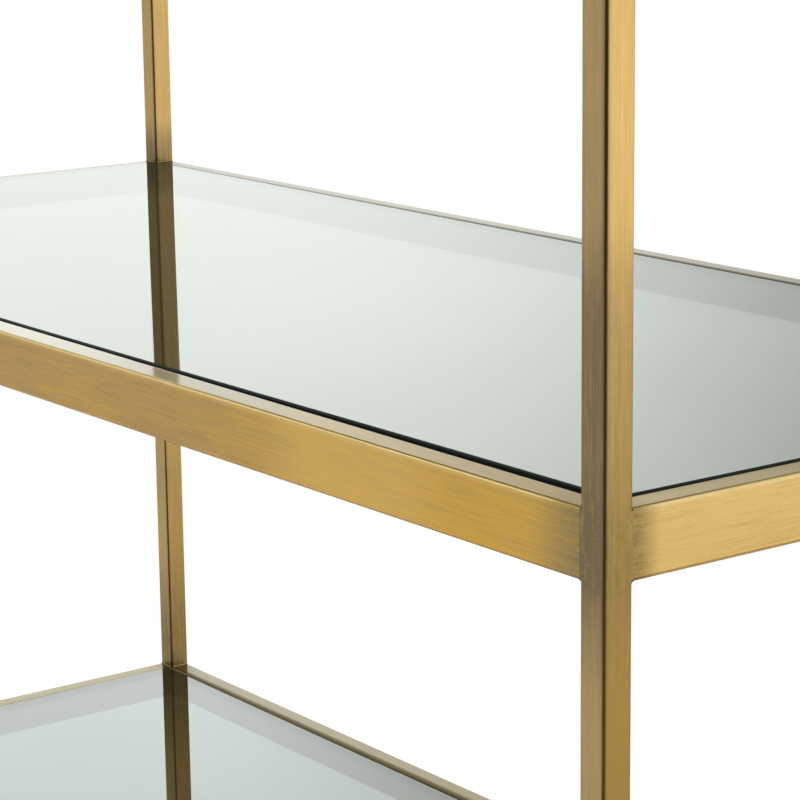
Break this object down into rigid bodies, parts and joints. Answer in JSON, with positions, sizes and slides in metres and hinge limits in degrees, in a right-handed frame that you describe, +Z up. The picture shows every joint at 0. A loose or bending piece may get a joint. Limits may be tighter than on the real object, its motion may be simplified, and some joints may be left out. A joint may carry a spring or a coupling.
{
  "type": "etagere",
  "caption": "Tall open display stand of square brass tube with smoked glass shelves dropped into rectangular tube frames, on small levelling feet.",
  "frame": {"origin": "on the floor under the middle of the stand", "axes": "+Z up, X along the long side, front at -Y"},
  "size_m": [1, 0.425, 1.731],
  "materials": {
    "antique_brass": "brushed along the tube and darkened with age, mottled at the welded joints",
    "smoked_glass": "flat polished glass with a light grey-green tint and ground edges",
    "clear_rubber": "soft clear bumper",
    "zinc_steel": "bright zinc plate",
    "black_plastic": "fine satin moulding"
  },
  "bodies": {
    "stand": {"post_front_left": "antique_brass", "post_cap_front_left": "antique_brass", "foot_insert_front_left": "zinc_steel", "post_front_right": "antique_brass", "post_cap_front_right": "antique_brass", "foot_insert_front_right": "zinc_steel", "post_back_left": "antique_brass", "post_cap_back_left": "antique_brass", "foot_insert_back_left": "zinc_steel", "post_back_right": "antique_brass", "post_cap_back_right": "antique_brass", "foot_insert_back_right": "zinc_steel", "front_rail_1": "antique_brass", "back_rail_1": "antique_brass", "left_rail_1": "antique_brass", "right_rail_1": "antique_brass", "glass_shelf_1": "smoked_glass", "corner_plates_1": "antique_brass", "glass_bumpers_1": "clear_rubber", "front_rail_2": "antique_brass", "back_rail_2": "antique_brass", "left_rail_2": "antique_brass", "right_rail_2": "antique_brass", "glass_shelf_2": "smoked_glass", "corner_plates_2": "antique_brass", "glass_bumpers_2": "clear_rubber", "front_rail_3": "antique_brass", "back_rail_3": "antique_brass", "left_rail_3": "antique_brass", "right_rail_3": "antique_brass", "glass_shelf_3": "smoked_glass", "corner_plates_3": "antique_brass", "glass_bumpers_3": "clear_rubber", "front_rail_4": "antique_brass", "back_rail_4": "antique_brass", "left_rail_4": "antique_brass", "right_rail_4": "antique_brass", "glass_shelf_4": "smoked_glass", "corner_plates_4": "antique_brass", "glass_bumpers_4": "clear_rubber", "front_rail_5": "antique_brass", "back_rail_5": "antique_brass", "left_rail_5": "antique_brass", "right_rail_5": "antique_brass", "glass_shelf_5": "smoked_glass", "corner_plates_5": "antique_brass", "glass_bumpers_5": "clear_rubber"},
    "foot_front_left": {"foot_pad_front_left": "black_plastic", "foot_stem_front_left": "zinc_steel"},
    "foot_front_right": {"foot_pad_front_right": "black_plastic", "foot_stem_front_right": "zinc_steel"},
    "foot_back_left": {"foot_pad_back_left": "black_plastic", "foot_stem_back_left": "zinc_steel"},
    "foot_back_right": {"foot_pad_back_right": "black_plastic", "foot_stem_back_right": "zinc_steel"}
  },
  "joints": [
    {"name": "foot_front_left_height", "type": "slide", "parent": "stand", "child": "foot_front_left", "axis": [0, 0, -1], "range_m": [0, 0.01]},
    {"name": "foot_front_right_height", "type": "slide", "parent": "stand", "child": "foot_front_right", "axis": [0, 0, -1], "range_m": [0, 0.01]},
    {"name": "foot_back_left_height", "type": "slide", "parent": "stand", "child": "foot_back_left", "axis": [0, 0, -1], "range_m": [0, 0.01]},
    {"name": "foot_back_right_height", "type": "slide", "parent": "stand", "child": "foot_back_right", "axis": [0, 0, -1], "range_m": [0, 0.01]}
  ]
}
